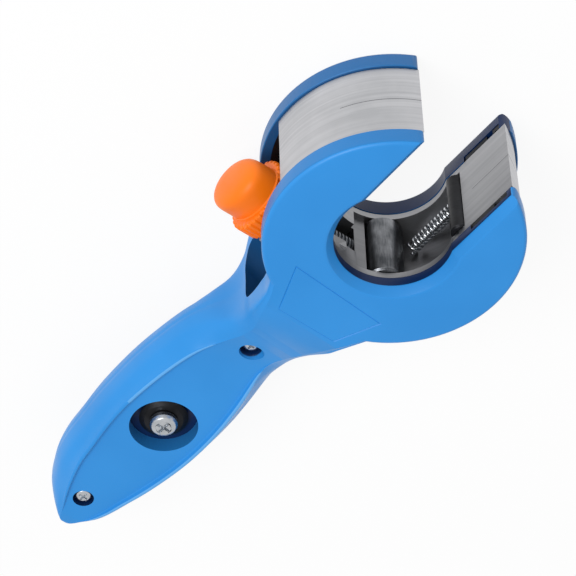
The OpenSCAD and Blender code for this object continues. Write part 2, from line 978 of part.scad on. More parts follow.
// Nut block on the feed screw and the fork that holds the cutter wheel
module sliding_jaw() {
    color("#8d9095")
        lift()
            difference() {
                union() {
                    translate([-nut_left, nut_low, -slide_half])
                        cube([nut_left - nut_right, nut_long, 2 * slide_half]);
                    translate([0, 0, -slide_half])
                        linear_extrude(height = 2 * slide_half)
                            arm_outline();
                    translate([0, wheel_y, 0])
                        rod(fork_radius, -slide_half, slide_half);
                }
                translate([-screw_x, 0, 0])
                    rotate([-90, 0, 0])
                        rod(screw_radius + 2 * running, 0, reach);
                translate([0, wheel_y, 0]) {
                    rod(wheel_room, -fork_slot, fork_slot, fine);
                    rod(axle_radius, -slide_half - overrun, slide_half + overrun);
                }
            }
}

module wheel_axle() {
    color("#9a9da2")
        lift()
            translate([0, wheel_y, 0])
                rod(axle_radius, -slide_half - axle_proud, slide_half + axle_proud);
}

module cutter_wheel() {
    color("#55585c")
        lift()
            translate([0, wheel_y, 0])
                wheel_body(axle_radius + running);
}

front_shell();
rear_shell();
shell_screws();
spare_wheel();
spare_screw();
front_ratchet_ring();
rear_ratchet_ring();
head_front_half();
head_rear_half();
head_screws();
roller_pins();
pawl_pins();
roller_a();
roller_b();
drive_pawl();
holding_pawl();
pawl_spring();
holding_spring();
feed_screw();
thumb_knob();
knob_pin();
sliding_jaw();
wheel_axle();
cutter_wheel();
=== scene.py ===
"""Ratcheting tube cutter: moulded blue shell, die cast turning head, orange feed knob."""

import math

import bmesh
import bpy
import numpy as np
from mathutils import Matrix, Vector


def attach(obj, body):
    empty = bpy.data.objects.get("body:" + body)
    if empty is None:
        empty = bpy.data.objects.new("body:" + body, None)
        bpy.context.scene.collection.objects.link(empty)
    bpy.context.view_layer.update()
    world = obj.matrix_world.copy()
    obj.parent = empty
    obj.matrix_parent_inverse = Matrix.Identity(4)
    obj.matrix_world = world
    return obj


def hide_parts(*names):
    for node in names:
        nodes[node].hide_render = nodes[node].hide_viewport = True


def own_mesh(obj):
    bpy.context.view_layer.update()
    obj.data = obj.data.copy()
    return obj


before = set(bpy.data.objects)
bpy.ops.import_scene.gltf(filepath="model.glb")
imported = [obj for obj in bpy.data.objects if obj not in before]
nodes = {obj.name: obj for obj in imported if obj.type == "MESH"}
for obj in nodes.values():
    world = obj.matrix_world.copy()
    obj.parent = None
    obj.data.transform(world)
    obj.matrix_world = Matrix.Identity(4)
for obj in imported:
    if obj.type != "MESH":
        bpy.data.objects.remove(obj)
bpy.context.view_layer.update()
MM = 0.001

# Main sizes, in millimetres
# Heights are measured from the mid plane between the two shells, which lies at MID.
MID = 20.6
GAP_HALF = 14.4
MOUTH_HALF = 15.8
ROUND_RADIUS = 17.2
JAW_RADIUS = 37.6
RIM_BEVEL = 1.3
HANDLE_TURN = math.radians(2.2)
SWEEP_RADIUS = 51.8
SWEEP_HALF = 12.0
SCREW_PLACES = (63.4, 144.9)
SINK_RADIUS = 3.3
SINK_FLOOR = 6.4
SPARE_PLACE = 104.97
SPARE_RADIUS = 10.5
SPARE_FLOOR = 3.7
RING_RECESS = (22.0, 34.7, 16.3)
SCREW_X = 21.8
KNOB_LOW = 26.1
KNOB_BASE = 32.6
KNOB_RADIUS = 11.2
GRIP_RISE = 36.7
GRIP_HALVES = (11.0, 8.0)
GRIP_TOP = 41.9
HANDLE_TOP = 10.0
# Depth and width of the bevel round the opening, front and rear
FRONT_BEVEL = (2.6, 2.4)
REAR_BEVEL = (0.9, 0.9)
# Half height of the pockets between the castings' side walls
POCKET_HALF = 12.0
# Beyond this distance from the mid plane the hubs run under the plates and get painted shade,
# nearly black
SHADED_HUB_FROM = 14.12
# Half width of the dirty seam between the castings, and the place beyond which it shows
SEAM_HALF = 0.13
SEAM_FROM = 17.3
# Full height of grain, peel and tool marks
GRAIN_DEEP = 0.02
# Radius at which a turned profile closes on its axis
CLOSE = 0.001
TWO_COLOURS = {"data_type": "RGBA"}

# Handle along its length: place, flat half width, half width, rise from the grip's top (0) to
# the jaw plates' top (1), sideways shift of the middle, and depth of the sunk face
STATIONS = np.array([
    [30.06, 18.6, 19.9, 0.985, 0, 0], [36.1, 15.2, 16.8, 1, 0.1, 0],
    [40, 13.4, 15.5, 0.972, 0.4, 0], [45.96, 10.7, 14.1, 0.84, 0.5, 0],
    [51.9, 8.7, 12.5, 0.604, -0.1, 0], [57.9, 7.8, 12.7, 0.321, -0.2, 0],
    [64.1, 7.7, 14.5, 0.104, 0.6, 0.1], [70.1, 8.3, 15.9, 0.019, 1.3, 0.5],
    [76, 9.3, 17, 0, 1.45, 0.8], [84.1, 10.9, 18.1, 0, 1.15, 0.9],
    [94, 12.4, 18.95, 0, 0.75, 0.9], [104, 13.2, 19, 0, 0.4, 0.9],
    [113.9, 12.7, 18.7, 0, 0, 0.9], [124, 11.2, 17.6, 0, -0.35, 0.9],
    [132, 9.6, 16.6, 0, -0.4, 0.9], [139, 7.8, 15.1, -0.009, -0.8, 0.8],
    [145, 6.4, 13, -0.028, -1.5, 0.7], [150, 5, 10.6, -0.057, -1.95, 0.4],
    [154, 3.5, 7, -0.094, -1.9, 0], [156.5, 2.1, 3.8, -0.132, -1.8, 0],
    [157.4, 0.9, 1.6, -0.16, -1.8, 0]
])
# Between these places the flank changes from the neck's form to the grip's
NECK_SPAN = (44.1, 70.1)
# Share of the flank by which each millimetre that the face is sunk widens it
FACE_WIDER = 0.42
# The bead gets a painted highlight from the first place on, and past the second on one side only
HIGHLIGHT_FROM, HIGHLIGHT_BOTH_TO = 66.0, 103.0
# Outline of the blank label panel on the front plate
LABEL_PANEL = [(-22.6, 17.5), (-38.4, 11.6), (-38.8, -8.8), (-25.3, -15.3)]


# Mesh helpers
def piece_from(name, points, faces):
    """A mesh object from points in millimetres and faces."""
    mesh = bpy.data.meshes.new(name)
    mesh.from_pydata((np.asarray(points, float) * MM).tolist(), [], [list(f) for f in faces])
    mesh.update()
    obj = bpy.data.objects.new(name, mesh)
    bpy.context.scene.collection.objects.link(obj)
    mesh.polygons.foreach_set("use_smooth", np.ones(len(mesh.polygons), bool))
    return obj


def grid_faces(rows, cols):
    """Quads between neighbouring rows of a grid whose columns close on themselves."""
    i, k = np.meshgrid(np.arange(rows - 1), np.arange(cols), indexing="ij")
    a = i * cols + k
    b = i * cols + (k + 1) % cols
    return np.stack([a, b, b + cols, a + cols], -1).reshape(-1, 4).tolist()


def closed_ends(rows, cols):
    """The quads of such a grid with its first and last row closed by one face each."""
    first = list(range(cols))[::-1]
    last = list(range((rows - 1) * cols, rows * cols))
    return grid_faces(rows, cols) + [first, last]


def outward(obj):
    """Merge doubles and turn every face outwards."""
    b = bmesh.new()
    b.from_mesh(obj.data)
    bmesh.ops.remove_doubles(b, verts=b.verts, dist=1e-7)
    bmesh.ops.recalc_face_normals(b, faces=b.faces)
    b.to_mesh(obj.data)
    b.free()
    return obj


def laid(points, axis):
    """Points made about Z, laid along the named axis."""
    return points[..., {"Z": [0, 1, 2], "Y": [0, 2, 1], "X": [2, 0, 1]}[axis]]


def turned(name, profile, place=(0, 0, 0), axis="Z", steps=128):
    """A profile of (radius, height) turned about an axis: x = r cos a, y = r sin a, z = h."""
    prof = np.asarray(profile, float)
    a = np.linspace(0, 2 * np.pi, steps, endpoint=False)
    r, h = prof[:, 0][:, None], prof[:, 1][:, None]
    p = np.stack([r * np.cos(a), r * np.sin(a), h + 0 * a], -1)
    p = laid(p, axis).reshape(-1, 3) + np.asarray(place, float)
    return outward(piece_from(name, p, closed_ends(len(prof), steps)))


def rounded(cx, cy, r, a0, a1, n=6):
    """Points of an arc about (cx, cy) from angle a0 to a1 in degrees."""
    a = np.radians(np.linspace(a0, a1, n))
    return np.stack([cx + r * np.cos(a), cy + r * np.sin(a)], -1).tolist()


def prism(name, outline, low, high, plane="XY"):
    """A closed outline pushed from low to high along the third axis."""
    o = np.asarray(outline, float)
    p = np.column_stack([np.tile(o, (2, 1)), np.repeat([low, high], len(o))])
    if plane == "YZ":
        p = p[:, [2, 0, 1]]
    return outward(piece_from(name, p, closed_ends(2, len(o))))


def applied(obj):
    """The object with its modifiers made part of its mesh."""
    bpy.context.view_layer.update()
    mesh = bpy.data.meshes.new_from_object(
        obj.evaluated_get(bpy.context.evaluated_depsgraph_get()))
    obj.modifiers.clear()
    obj.data = mesh
    return obj


def cut(obj, tool, how="DIFFERENCE"):
    """Boolean of obj with tool; the tool is used up."""
    mod = obj.modifiers.new("cut", "BOOLEAN")
    mod.operation = how
    mod.solver = "EXACT"
    mod.object = tool
    applied(obj)
    bpy.data.objects.remove(tool)
    return obj


def crisp(obj, degrees):
    """Smooth shading that keeps edges sharper than the angle crisp."""
    b = bmesh.new()
    b.from_mesh(obj.data)
    limit = math.radians(degrees)
    for f in b.faces:
        f.smooth = True
    for e in b.edges:
        e.smooth = len(e.link_faces) == 2 and e.calc_face_angle(0) < limit
    b.to_mesh(obj.data)
    b.free()
    return obj


def paint_shade(obj, rule):
    """Write into a face attribute how much painted shade the rule gives each face, from its middle
    (millimetres, measured from the mid plane) and its normal; below 0 it paints a highlight."""
    faces = obj.data.polygons
    middle, normal = np.empty(len(faces) * 3), np.empty(len(faces) * 3)
    faces.foreach_get("center", middle)
    faces.foreach_get("normal", normal)
    middle = middle.reshape(-1, 3) / MM - [0, 0, MID]
    shade = rule(middle, normal.reshape(-1, 3))
    obj.data.attributes.new("painted_shade", "FLOAT", "FACE").data.foreach_set("value", shade)
    return obj


def finished(obj, body, slot, material, *replaced):
    """Give a piece its one material, its body and the nodes that it stands for. The slot is not
    used.
    """
    obj.data.materials.clear()
    obj.data.materials.append(material)
    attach(obj, body)
    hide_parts(*replaced)
    return obj


# Shell halves
def smooth_rows(table, steps):
    """Catmull-Rom curve through the rows of a table, with steps points to each interval."""
    n = len(table)
    i = np.repeat(np.arange(n - 1), steps)
    t = np.tile(np.arange(steps) / steps, n - 1)[:, None]
    a, b = table[np.maximum(i - 1, 0)], table[i]
    c, d = table[i + 1], table[np.minimum(i + 2, n - 1)]
    rows = (2 * b + (c - a) * t + (2 * a - 5 * b + 4 * c - d) * t**2
            + (3 * b - a - 3 * c + d) * t**3) / 2
    return np.vstack([rows, table[-1:]])


def handle_loft():
    """Neck and handle as a loft. x runs along the handle, and each section climbs the flank
    from the mid plane through three edge points to a raised bead, then steps down to the
    sunk flat face: y = flat + share (half - flat), z = share of the top height. The deeper
    the face is sunk, the wider it is."""
    s = smooth_rows(STATIONS, 8)
    x, flat, half, rise, shift, sunk = s.T
    sunk = np.clip(sunk, 0, None)
    top = HANDLE_TOP + rise * (MID - HANDLE_TOP)
    turn = np.clip((x - NECK_SPAN[0]) / (NECK_SPAN[1] - NECK_SPAN[0]), 0, 1)
    step = half - flat
    neck = np.array([[1.03, 4.6], [0.97, 1], [0.5, 0.45]])
    grip = np.array([[1, 0.18], [0.85, 0.52], [0.53, 0.82]])
    out, up = [half], [0 * half]
    for n, g in zip(neck, grip):
        out.append(flat + step * (n[0] + (g[0] - n[0]) * turn))
        up.append((top - n[1] * RIM_BEVEL) * (1 - turn) + top * g[1] * turn)
    edge = flat + FACE_WIDER * sunk * step
    out.append(edge)
    up.append(top)
    side = np.stack([np.array(out), np.array(up)], -1)
    fine = smooth_rows(side.reshape(5, -1), 6).reshape(-1, len(x), 2)
    ridge = [np.stack([edge - sunk * u, top - sunk * v], -1)
             for u, v in ((0.2, -0.3), (0.6, -0.5), (1.0, -0.5), (1.4, -0.25), (1.65, 0.3),
                          (1.9, 0.85), (2.2, 1.05), (2.9, 1.1))]
    fine = np.concatenate([fine, np.array(ridge)]).transpose(1, 0, 2)
    left = fine[:, ::-1].copy()
    left[..., 0] *= -1
    sect = np.concatenate([fine, left], 1)
    sect[..., 0] += shift[:, None]
    n = sect.shape[1]
    p = np.concatenate([np.repeat(-x[:, None, None], n, 1), sect], -1)
    c, t = math.cos(-HANDLE_TURN), math.sin(-HANDLE_TURN)
    q = p.copy()
    q[..., 0] = p[..., 0] * c - p[..., 1] * t
    q[..., 1] = p[..., 0] * t + p[..., 1] * c
    return outward(piece_from("handle_loft", q.reshape(-1, 3), closed_ends(len(x), n)))


def at_handle(x):
    """The point x millimetres along the handle, on the mid plane."""
    return np.array([-x * math.cos(HANDLE_TURN), x * math.sin(HANDLE_TURN), 0.0])


def opening_profile(deep, wide, inner):
    """Wall of the opening: straight, then a bevel deep by wide with both its edges eased."""
    top = MID
    return [[inner, -2], [inner, top - deep - 0.25], [inner + 0.08 * wide, top - deep + 0.12],
            [inner + 0.86 * wide, top - 0.2], [inner + wide + 0.12, top - 0.03],
            [inner + wide + 0.5, top + 0.003], [inner + wide + 0.5, top + 3]]


def shell_half(name, front):
    """Plate, neck and handle of one shell half above the mid plane, joined and cut."""
    rim = rounded(JAW_RADIUS - RIM_BEVEL, MID - RIM_BEVEL, RIM_BEVEL, 0, 90, 7)
    plate = [[CLOSE, GAP_HALF], [JAW_RADIUS - 0.25, GAP_HALF], [JAW_RADIUS, GAP_HALF + 0.25]]
    body = turned(name, plate + rim + [[CLOSE, MID]], steps=192)
    deep, wide = FRONT_BEVEL if front else REAR_BEVEL
    hole = opening_profile(deep, wide, ROUND_RADIUS)
    cut(body, turned("hole", [[CLOSE, -2]] + hole + [[CLOSE, MID + 3]], steps=192))
    mouth = opening_profile(deep, wide, MOUTH_HALF)
    mouth += [[-y, z] for y, z in mouth[::-1]]
    cut(body, prism("mouth", mouth, 0, 60, "YZ"))
    for side in (1, -1):
        cut(body, prism("tip", tip_outline(side, front or side > 0), 0, 60))
    inner, outer, floor = RING_RECESS
    under = GAP_HALF - 1.4
    cut(body, turned("recess", [[inner, under], [outer, under], [outer, floor], [inner, floor],
                                [inner, under + CLOSE]], steps=128))
    loft = handle_loft()
    soft = rounded(SWEEP_RADIUS - 7, SWEEP_HALF - 7, 7, 0, 90, 12)
    cut(loft, turned("sweep", [[CLOSE, -1], [SWEEP_RADIUS, -1]] + soft + [[CLOSE, SWEEP_HALF]],
                     steps=192))
    out, low, high = JAW_RADIUS + 0.6, GAP_HALF + 0.03, floor + 0.03
    cut(loft, turned("gap", [[CLOSE, -2], [out, -2], [out, low], [outer + 0.03, low],
                             [outer + 0.03, high], [CLOSE, high]], steps=192))
    cut(body, loft, "UNION")
    if front:
        sinks = [(x, SINK_RADIUS, SINK_FLOOR) for x in SCREW_PLACES]
        for x, r, bottom in sinks + [(SPARE_PLACE, SPARE_RADIUS, SPARE_FLOOR)]:
            lip = HANDLE_TOP - 0.9
            cut(body, turned("sink", [[CLOSE, bottom], [r, bottom], [r, lip], [r + 0.1, lip + 0.3],
                                      [r + 0.6, 12], [r + 0.6, 30], [CLOSE, 30]],
                             at_handle(x), steps=96))
        cut(body, label_groove())
    co = np.zeros(len(body.data.vertices) * 3)
    body.data.vertices.foreach_get("co", co)
    co = co.reshape(-1, 3)
    if not front:
        co[:, 2] *= -1
    co[:, 2] += MID * MM
    body.data.vertices.foreach_set("co", co.ravel())
    return paint_shade(crisp(outward(body), 28), shell_shade)


def shell_shade(p, n):
    """How much painted shade each face gets: walls of the opening, the mouth, the ring recess and
    the sinks fully, the slot round the knob's path and the plates' inner faces less, and the
    plates' rims lightly, the rear one more. The bead on the handle gets a painted highlight, given
    as a value below 0."""
    r, z = np.hypot(p[:, 0], p[:, 1]), np.abs(p[:, 2])
    inward = (p[:, :2] * n[:, :2]).sum(1) < -0.3 * r
    below = p[:, 2] * n[:, 2] < -0.5 * z
    shade = np.zeros(len(p))
    # Painted shade on the slot's walls, the plates' inner faces, the ring recess, the opening and
    # the mouth
    shade[(z < GAP_HALF + 0.1) & (r < SWEEP_RADIUS + 0.2) & (inward | below)] = 0.75
    inner, outer, floor = RING_RECESS
    shade[(r > inner - 0.2) & (r < outer + 0.2) & (z < floor + 0.1)] = 1
    shade[(r < ROUND_RADIUS + 0.2) & (np.abs(n[:, 2]) < 0.4)] = 1
    shade[(np.abs(p[:, 1]) < MOUTH_HALF + 0.15) & (p[:, 0] > 0) & (np.abs(n[:, 1]) > 0.9)] = 1
    # Painted shade on the plates' rims, heavier on the rear plate
    rim = (r > JAW_RADIUS - 0.8) & (r < JAW_RADIUS + 0.1) & (z > GAP_HALF)
    rim &= (np.abs(n[:, 2]) < 0.6) | (z < GAP_HALF + 0.4)
    shade[rim] = np.where(p[rim, 2] < 0, 0.52, 0.26)
    # Painted highlight along the raised bead on the handle
    along = p[:, 1] * math.sin(HANDLE_TURN) - p[:, 0] * math.cos(HANDLE_TURN)
    rise, sunk = [np.interp(along, STATIONS[:, 0], STATIONS[:, k]) for k in (3, 5)]
    edge = HANDLE_TOP + rise * (MID - HANDLE_TOP) + 0.22 * sunk
    bead = (p[:, 2] > edge) & (sunk > 0.3) & (along > HIGHLIGHT_FROM)
    one_side = p[:, 1] < along * math.sin(HANDLE_TURN)
    shade[bead & ((along < HIGHLIGHT_BOTH_TO) | one_side)] = -0.35
    # Painted shade on the walls of the rear plate's lower jaw tip
    shade[(p[:, 2] < 0) & (p[:, 0] > 29) & (p[:, 1] < 0) & (r < JAW_RADIUS - 0.2)
          & (np.abs(n[:, 2]) < 0.6)] = 1
    # Painted shade in the screw sinks and the spare wheel's recess, darkest on their floors
    for x, reach in [(x, SINK_RADIUS) for x in SCREW_PLACES] + [(SPARE_PLACE, SPARE_RADIUS)]:
        c = at_handle(x)
        off = np.hypot(p[:, 0] - c[0], p[:, 1] - c[1])
        shade[(off < reach + 0.12) & (p[:, 2] > 4.5) & (np.abs(n[:, 2]) < 0.5)] = 0.4
        near = off < reach + 0.02
        low = (p[:, 2] < (4.5 if reach > 5 else 8.8)) & (p[:, 2] > 1)
        shade[near & low] = 1.25 if reach > 5 else 1
    return shade


def casting_shade(p, n):
    """Painted shade: the pockets between the side walls darkest, and the walls of the opening and
    the faces of the mouth greyed a little."""
    r, z = np.hypot(p[:, 0], p[:, 1]), np.abs(p[:, 2])
    off = np.abs(np.abs(p[:, 1]) - MOUTH_HALF - 0.2)
    face = (np.abs(n[:, 1]) > 0.95) & (off < 0.2) & (p[:, 0] > 0)
    bore = (r < ROUND_RADIUS + 0.7) & (np.abs(n[:, 2]) < 0.4)
    pocket = (z < POCKET_HALF + 0.1) & (r < 33.4) & (r > ROUND_RADIUS + 0.3) & ~face
    return np.where(pocket, 0.55, 0.28 * face + 0.35 * bore)


def tip_outline(side, small):
    """What the rounding takes off a jaw's tip, seen from the front: a quadratic curve
    (1 - t)^2 a + 2 t (1 - t) b + t^2 c round the tip b, closed outside it. The rear plate's
    lower tip is rounded off further than the others."""
    a, b, c = np.array([[31.5, 15.7], [34.1, 15.7], [32.8, 18.4]])
    if not small:
        a, b, c = np.array([[30.4, 15.7], [32.7, 15.7], [31.6, 20.5]])
    t = np.linspace(0, 1, 9)[:, None]
    curve = (1 - t) ** 2 * a + 2 * t * (1 - t) * b + t**2 * c
    around = np.array([[34.6, 19.4], [36.6, 17.0], [36.6, 14.4], [31.9, 14.4]])
    return np.concatenate([curve, around]) * [1, side]


def label_groove():
    """A shallow V groove round the blank label panel: the panel's outline swept as a closed
    four sided tube, offset from the outline along its mitred normals."""
    p = np.array(LABEL_PANEL)
    edge = np.roll(p, -1, 0) - p
    edge /= np.linalg.norm(edge, axis=1)[:, None]
    normal = np.column_stack([edge[:, 1], -edge[:, 0]])
    mitre = normal + np.roll(normal, 1, 0)
    mitre /= (mitre * normal).sum(1)[:, None]
    rows = [np.column_stack([p + mitre * o, np.full(len(p), MID + z)])
            for o, z in ((0, -0.22), (0.3, 0.1), (0, 0.4), (-0.3, 0.1))]
    grid = np.array(rows).transpose(1, 0, 2)
    grid = np.concatenate([grid, grid[:1]])
    return outward(piece_from("groove", grid.reshape(-1, 3), grid_faces(len(grid), 4)))


# Colours and materials
def linear(code):
    """sRGB hex to linear RGBA."""
    c = [int(code[i:i + 2], 16) / 255 for i in (1, 3, 5)]
    return tuple(v / 12.92 if v <= 0.04045 else ((v + 0.055) / 1.055) ** 2.4 for v in c) + (1.0,)


def add(tree, kind, props=None, values=None, links=None):
    """Add a node, set its properties and socket values, and link sockets into it."""
    n = tree.nodes.new(kind)
    for k, v in (props or {}).items():
        setattr(n, k, v)
    for k, v in (values or {}).items():
        n.inputs[k].default_value = v
    for k, v in (links or {}).items():
        tree.links.new(v, n.inputs[k])
    return n


def started(name, metallic, **constants):
    """An empty finish: its tree, its shader and the object coordinates."""
    m = bpy.data.materials.new(name)
    m.use_nodes = True
    shader = m.node_tree.nodes["Principled BSDF"]
    shader.inputs["Metallic"].default_value = metallic
    for k, v in constants.items():
        shader.inputs[k.replace("_", " ")].default_value = v
    place = add(m.node_tree, "ShaderNodeTexCoord").outputs["Object"]
    return m, m.node_tree, shader, place


def moulded(name, pale, deep, rough, grain_mm, painted_shade, highlight_colour):
    """Moulded plastic. Slow mottling, as pigment settles in the mould, shifts the colour a
    little; the spark-eroded mould leaves a fine satin grain, here drawn at grain_mm, coarser
    than the real 0.15 mm, so that it holds at this size; handling polishes it in patches.
    Where the face attribute is above 0 it paints shade, mixing towards the dark colour given,
    and where it is below 0, on the raised bead, it paints a highlight towards the pale one."""
    m, tree, shader, place = started(name, 0.0, Specular_IOR_Level=0.3)
    slow = add(tree, "ShaderNodeTexNoise", None, {"Scale": 1 / (35.7 * MM), "Detail": 3.0},
               {"Vector": place})
    mottle = add(tree, "ShaderNodeMapRange", None, {"From Min": 0.3, "From Max": 0.7},
                 {"Value": slow.outputs[0]})
    plain = add(tree, "ShaderNodeMix", TWO_COLOURS, {6: linear(deep), 7: linear(pale)},
                {0: mottle.outputs[0]})
    # The face attribute: painted shade above 0, painted highlight below 0
    mark = add(tree, "ShaderNodeAttribute", {"attribute_name": "painted_shade"}).outputs["Fac"]
    darkened = add(tree, "ShaderNodeMix", TWO_COLOURS, {7: linear(painted_shade)},
                {0: mark, 6: plain.outputs[2]})
    highlight_share = add(tree, "ShaderNodeMath", {"operation": "MULTIPLY"}, {1: -1.0}, {0: mark})
    bright = add(tree, "ShaderNodeMix", TWO_COLOURS, {7: linear(highlight_colour)},
                 {0: highlight_share.outputs[0], 6: darkened.outputs[2]})
    tree.links.new(bright.outputs[2], shader.inputs["Base Color"])
    hands = add(tree, "ShaderNodeTexNoise", None, {"Scale": 1 / (10.5 * MM), "Detail": 4.0},
                {"Vector": place})
    gloss = add(tree, "ShaderNodeMapRange", None,
                {"From Min": 0.3, "From Max": 0.7, "To Min": rough - 0.06, "To Max": rough + 0.07},
                {"Value": hands.outputs[0]})
    tree.links.new(gloss.outputs[0], shader.inputs["Roughness"])
    grain = add(tree, "ShaderNodeTexNoise", None, {"Scale": 1 / (grain_mm * MM), "Detail": 2.0},
                {"Vector": place})
    bump = add(tree, "ShaderNodeBump", None, {"Strength": 0.35, "Distance": GRAIN_DEEP * MM},
               {"Height": grain.outputs[0]})
    tree.links.new(bump.outputs[0], shader.inputs["Normal"])
    return m


def machined(name, pale, deep, rough, along, metallic=1.0):
    """Machined metal. Tool marks run as fine streaks, long where the along figures are small;
    they ripple the surface and the gloss, and thin oil and handling darken it in clouds. The
    marks are drawn about 0.5 mm apart, coarser than the real 0.1 mm."""
    m, tree, shader, place = started(name, metallic)
    drawn = add(tree, "ShaderNodeMapping", None, {"Scale": along}, {"Vector": place})
    marks = add(tree, "ShaderNodeTexNoise", None, {"Scale": 1 / (0.5 * MM), "Detail": 3.0},
                {"Vector": drawn.outputs[0]})
    clouds = add(tree, "ShaderNodeTexNoise", None, {"Scale": 1 / (6.25 * MM), "Detail": 4.0},
                 {"Vector": place})
    both = add(tree, "ShaderNodeMath", {"operation": "MULTIPLY_ADD"}, {1: 0.5},
               {0: marks.outputs[0], 2: clouds.outputs[0]})
    worn = add(tree, "ShaderNodeMapRange", None, {"From Min": 0.5, "From Max": 0.95},
               {"Value": both.outputs[0]})
    tone = add(tree, "ShaderNodeMix", TWO_COLOURS, {6: linear(deep), 7: linear(pale)},
               {0: worn.outputs[0]})
    tree.links.new(tone.outputs[2], shader.inputs["Base Color"])
    gloss = add(tree, "ShaderNodeMapRange", None,
                {"From Min": 0.5, "From Max": 0.95, "To Min": rough + 0.1, "To Max": rough - 0.06},
                {"Value": both.outputs[0]})
    tree.links.new(gloss.outputs[0], shader.inputs["Roughness"])
    bump = add(tree, "ShaderNodeBump", None, {"Strength": 0.3, "Distance": GRAIN_DEEP * MM},
               {"Height": marks.outputs[0]})
    tree.links.new(bump.outputs[0], shader.inputs["Normal"])
    return m


def blasted_casting(name, pale, deep, rough, shade_and_grime):
    """Pressure die cast zinc alloy, tumbled and skimmed round its edge. A fine orange peel
    dulls it, faint bands run round it where the skimming tool fed across, and flow clouds
    shift its grey. The peel is drawn at 0.7 mm, coarser than the real 0.3 mm. Painted shade, as
    much as the face attribute gives, darkens the pockets and the walls of the opening and the
    mouth, and turns the hubs beyond the plates' inner faces, which run under the plates, nearly
    black;
    near the mouth the seam between the two castings has filled with grime."""
    m, tree, shader, place = started(name, 1.0)
    peel = add(tree, "ShaderNodeTexNoise", None, {"Scale": 1 / (0.714 * MM), "Detail": 2.0},
               {"Vector": place})
    across = add(tree, "ShaderNodeMapping", None, {"Scale": (0.02, 0.02, 1.0)},
                 {"Vector": place})
    bands = add(tree, "ShaderNodeTexNoise", None, {"Scale": 1 / (1.11 * MM), "Detail": 3.0},
                {"Vector": across.outputs[0]})
    flow = add(tree, "ShaderNodeTexNoise", None, {"Scale": 1 / (16.7 * MM), "Detail": 4.0},
               {"Vector": place})
    both = add(tree, "ShaderNodeMath", {"operation": "MULTIPLY_ADD"}, {1: 0.7},
               {0: bands.outputs[0], 2: flow.outputs[0]})
    worn = add(tree, "ShaderNodeMapRange", None, {"From Min": 0.6, "From Max": 1.1},
               {"Value": both.outputs[0]})
    clean = add(tree, "ShaderNodeMix", TWO_COLOURS, {6: linear(deep), 7: linear(pale)},
                {0: worn.outputs[0]})
    where = add(tree, "ShaderNodeSeparateXYZ", None, None, {0: place})
    level = add(tree, "ShaderNodeMath", {"operation": "SUBTRACT"}, {1: MID * MM},
                {0: where.outputs[2]})
    height = add(tree, "ShaderNodeMath", {"operation": "ABSOLUTE"}, None, {0: level.outputs[0]})
    # Painted shade: the hubs, which run under the plates, go nearly black
    shaded_hub = add(tree, "ShaderNodeMath", {"operation": "GREATER_THAN"}, {1: SHADED_HUB_FROM * MM},
              {0: height.outputs[0]})
    line = add(tree, "ShaderNodeMath", {"operation": "LESS_THAN"}, {1: SEAM_HALF * MM},
               {0: height.outputs[0]})
    faint = add(tree, "ShaderNodeMath", {"operation": "MULTIPLY"}, {1: 0.7},
                {0: line.outputs[0]})
    jaws = add(tree, "ShaderNodeMath", {"operation": "GREATER_THAN"}, {1: SEAM_FROM * MM},
               {0: where.outputs[0]})
    seam = add(tree, "ShaderNodeMath", {"operation": "MULTIPLY"}, None,
               {0: faint.outputs[0], 1: jaws.outputs[0]})
    filled = add(tree, "ShaderNodeMath", {"operation": "MAXIMUM"}, None,
                 {0: shaded_hub.outputs[0], 1: seam.outputs[0]})
    mark = add(tree, "ShaderNodeAttribute", {"attribute_name": "painted_shade"})
    shade = add(tree, "ShaderNodeMath", {"operation": "MAXIMUM"}, None,
                {0: mark.outputs["Fac"], 1: filled.outputs[0]})
    darkened = add(tree, "ShaderNodeMix", TWO_COLOURS, {7: linear(shade_and_grime)},
                {0: shade.outputs[0], 6: clean.outputs[2]})
    tree.links.new(darkened.outputs[2], shader.inputs["Base Color"])
    gloss = add(tree, "ShaderNodeMapRange", None,
                {"From Min": 0.3, "From Max": 0.7, "To Min": rough - 0.07, "To Max": rough + 0.1},
                {"Value": flow.outputs[0]})
    tree.links.new(gloss.outputs[0], shader.inputs["Roughness"])
    rough_skin = add(tree, "ShaderNodeMath", {"operation": "ADD"}, None,
                     {0: peel.outputs[0], 1: bands.outputs[0]})
    bump = add(tree, "ShaderNodeBump", None, {"Strength": 0.25, "Distance": GRAIN_DEEP * MM},
               {"Height": rough_skin.outputs[0]})
    tree.links.new(bump.outputs[0], shader.inputs["Normal"])
    return m


# The navy and the pale blue are the colours of the shells' painted shade and of the painted
# highlight on their bead; the knob has no face attribute, so its two such colours never show
shell_blue = moulded("moulded_nylon_blue", "#3090DC", "#2A89D4", 0.36, 0.7, "#0B2752",
                     "#8CCBF8")
knob_orange = moulded("moulded_abs_orange", "#FC7D0E", "#F77307", 0.44, 0.7, "#7A3408",
                      "#FFB070")
# Its near black is both the painted shade in the pockets and under the plates and the grime in the
# seam
cast_zinc = blasted_casting("tumbled_zinc_casting", "#D2D2D5", "#B6B7BA", 0.42, "#24272C")
dark_steel = machined("oiled_tool_steel", "#6A6D72", "#3E4044", 0.4, (0.15, 1.0, 1.0))
turned_steel = machined("turned_oiled_steel", "#8B8E93", "#5C5F64", 0.34, (0.08, 0.08, 1.0))
black_steel = machined("black_oxide_steel", "#26272B", "#141518", 0.42, (0.3, 0.3, 1.0), 0.7)
edge_steel = machined("hardened_wheel_steel", "#7C7F85", "#54575C", 0.3, (1.0, 1.0, 0.2))
plated_steel = machined("zinc_plated_steel", "#E2E6EA", "#C4C8CD", 0.24, (0.3, 0.3, 1.0))
worn_steel = machined("worn_roller_steel", "#8E9094", "#54575B", 0.34, (1.0, 1.0, 0.15))
spring_steel = machined("bright_spring_wire", "#E4E7EA", "#B2B6BB", 0.22, (0.3, 1.0, 1.0))

# Shell pieces
for front in (True, False):
    half = shell_half("shell_front" if front else "shell_rear", front)
    finished(half, "handle", "shell", shell_blue, "front_shell" if front else "rear_shell")


